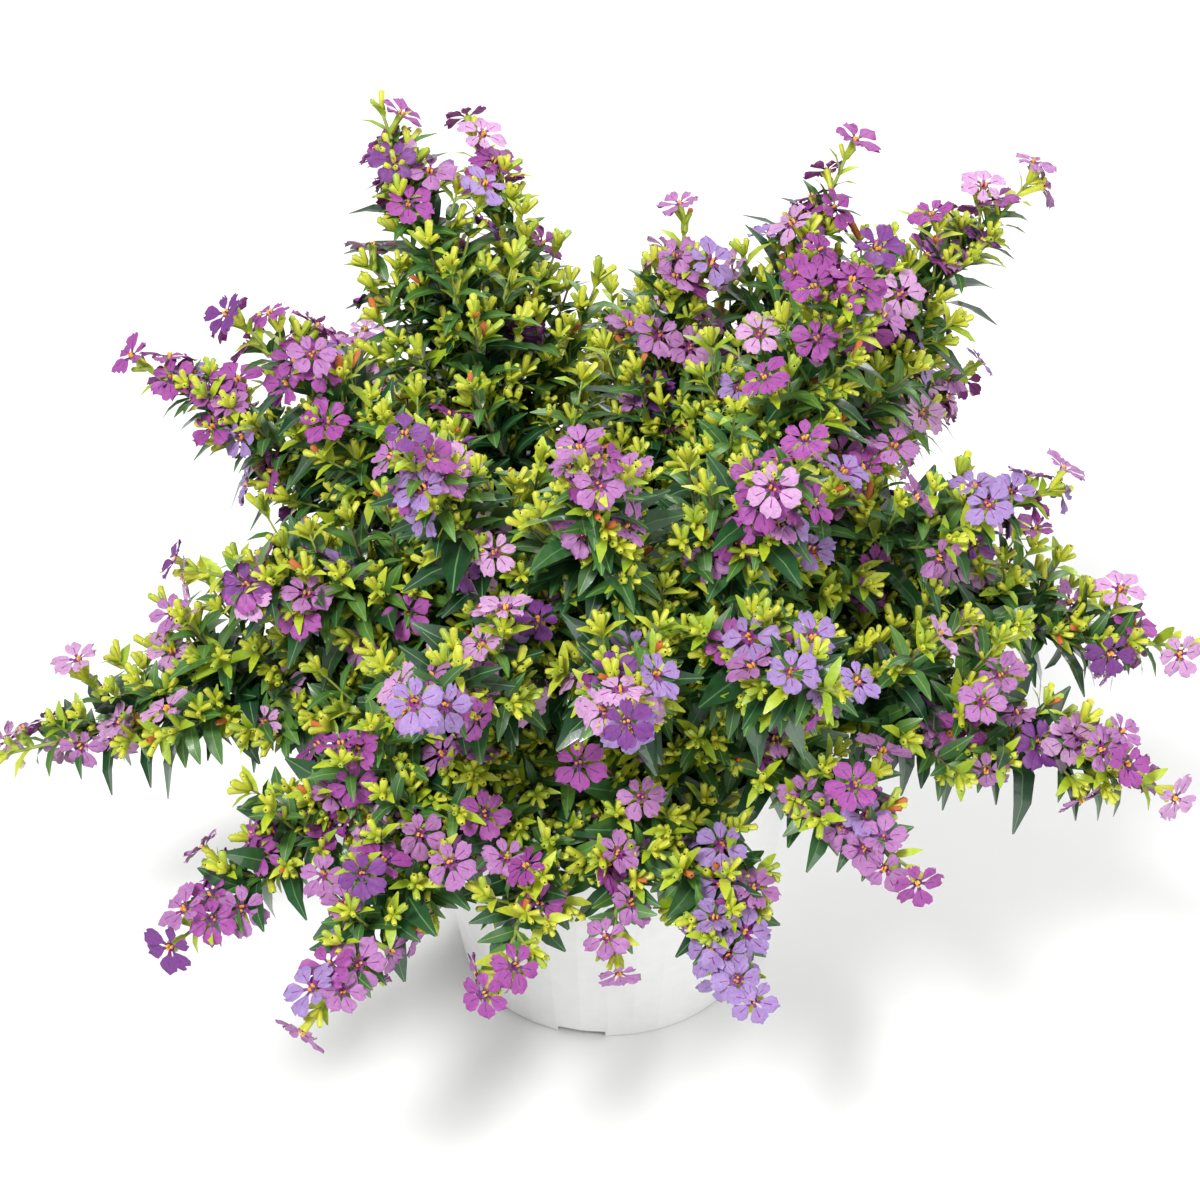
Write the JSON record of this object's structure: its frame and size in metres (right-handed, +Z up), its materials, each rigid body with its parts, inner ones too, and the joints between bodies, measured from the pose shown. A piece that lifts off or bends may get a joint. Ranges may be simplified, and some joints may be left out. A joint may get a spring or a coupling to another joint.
{
  "type": "potted false heather",
  "caption": "False heather in bloom: a low shrub with a wide dome of leafy, flowering sprays in a plain round plastic pot.",
  "frame": {"origin": "centre of the pot's flat underside, on the floor", "axes": "+Z up, -Y towards the front of the picture, +X to the right as seen from the front"},
  "size_m": [0.3263, 0.2735, 0.2441],
  "materials": {
    "white_plastic": "satin",
    "potting_soil": "matte",
    "old_bark": "matte",
    "young_bark": "matte",
    "foliage": "satin"
  },
  "bodies": {
    "root": {"bough_back_left_low": "young_bark", "bough_back_middle_low": "young_bark", "bough_back_right_low": "young_bark", "bough_front_left": "young_bark", "bough_front_left_low": "young_bark", "bough_front_left_upper": "young_bark", "bough_front_low": "young_bark", "bough_front_middle": "young_bark", "bough_front_right": "young_bark", "bough_front_right_low": "young_bark", "bough_front_right_upper": "young_bark", "bough_front_upper": "young_bark", "bough_left_far": "young_bark", "bough_left_front_low": "young_bark", "bough_left_low": "young_bark", "bough_left_middle": "young_bark", "bough_left_top": "young_bark", "bough_left_upper": "young_bark", "bough_right_far": "young_bark", "bough_right_front_low": "young_bark", "bough_right_low": "young_bark", "bough_right_upper": "young_bark", "bough_top_left": "young_bark", "bough_top_left_back": "young_bark", "bough_top_middle": "young_bark", "bough_top_right": "young_bark", "bough_top_right_far": "young_bark", "bough_top_right_front": "young_bark", "main_stem": "old_bark", "pot": "white_plastic", "potting_soil": "potting_soil", "spray_back_left_low": "foliage", "spray_back_middle_low": "foliage", "spray_back_right_low": "foliage", "spray_front_left": "foliage", "spray_front_left_low": "foliage", "spray_front_left_upper": "foliage", "spray_front_low": "foliage", "spray_front_middle": "foliage", "spray_front_right": "foliage", "spray_front_right_low": "foliage", "spray_front_right_upper": "foliage", "spray_front_upper": "foliage", "spray_left_far": "foliage", "spray_left_front_low": "foliage", "spray_left_low": "foliage", "spray_left_middle": "foliage", "spray_left_top": "foliage", "spray_left_upper": "foliage", "spray_right_far": "foliage", "spray_right_front_low": "foliage", "spray_right_low": "foliage", "spray_right_upper": "foliage", "spray_top_left": "foliage", "spray_top_left_back": "foliage", "spray_top_middle": "foliage", "spray_top_right": "foliage", "spray_top_right_far": "foliage", "spray_top_right_front": "foliage"}
  },
  "joints": []
}
